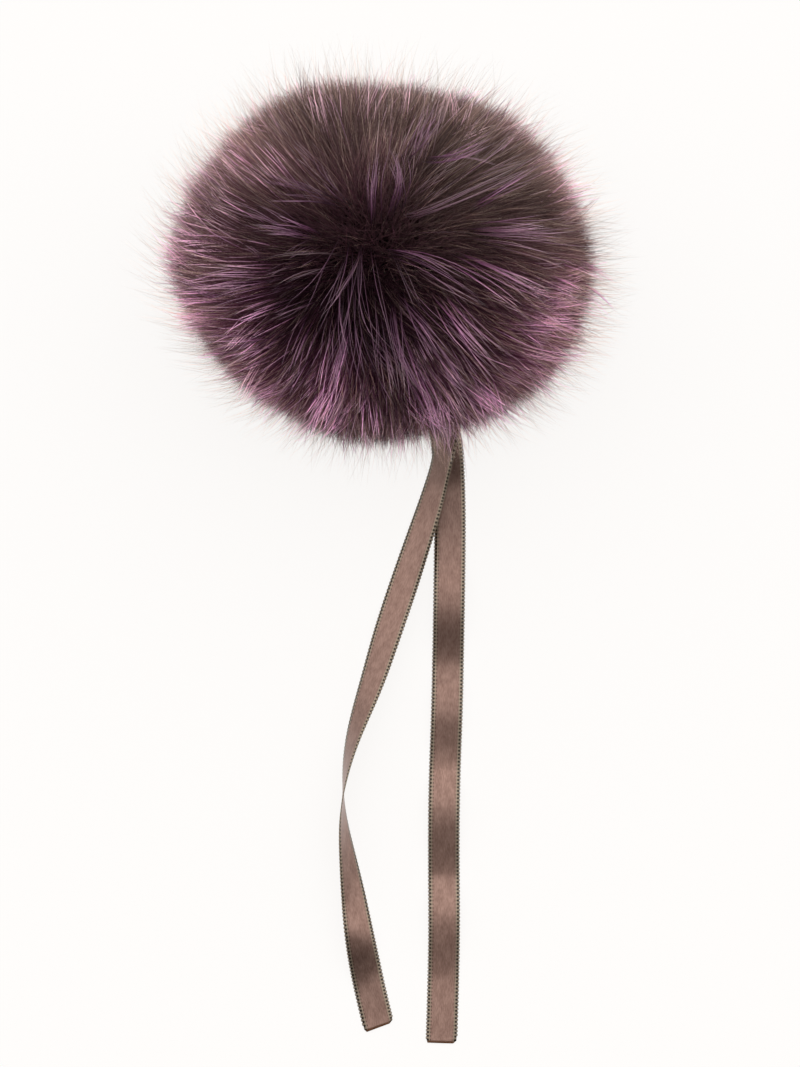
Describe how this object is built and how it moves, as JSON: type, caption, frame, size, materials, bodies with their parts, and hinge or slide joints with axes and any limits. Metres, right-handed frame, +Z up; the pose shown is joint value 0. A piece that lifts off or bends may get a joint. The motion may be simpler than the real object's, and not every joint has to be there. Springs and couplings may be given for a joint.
{
  "type": "pom pom",
  "caption": "Round long-haired fur pom pom with a pair of satin ribbon tails for tying it on, lying flat.",
  "frame": {"origin": "middle of the small flat spot that the ball rests on, on the surface", "axes": "+Z up from the surface, -Y the way the ribbon tails run out from the ball, +X to the right seen from above with the tails towards the viewer"},
  "size_m": [0.144, 0.3003, 0.1095],
  "materials": {
    "fur": "long dyed fur: very dark brown underfur with grape-purple guard hairs that pale to mauve at their tips",
    "satin_ribbon": "double-faced satin ribbon in taupe brown with a soft sheen and woven picot selvedges"
  },
  "bodies": {
    "root": {"fur_ball": "fur", "ribbon_tail_left": "satin_ribbon", "ribbon_tail_right": "satin_ribbon"}
  },
  "joints": []
}
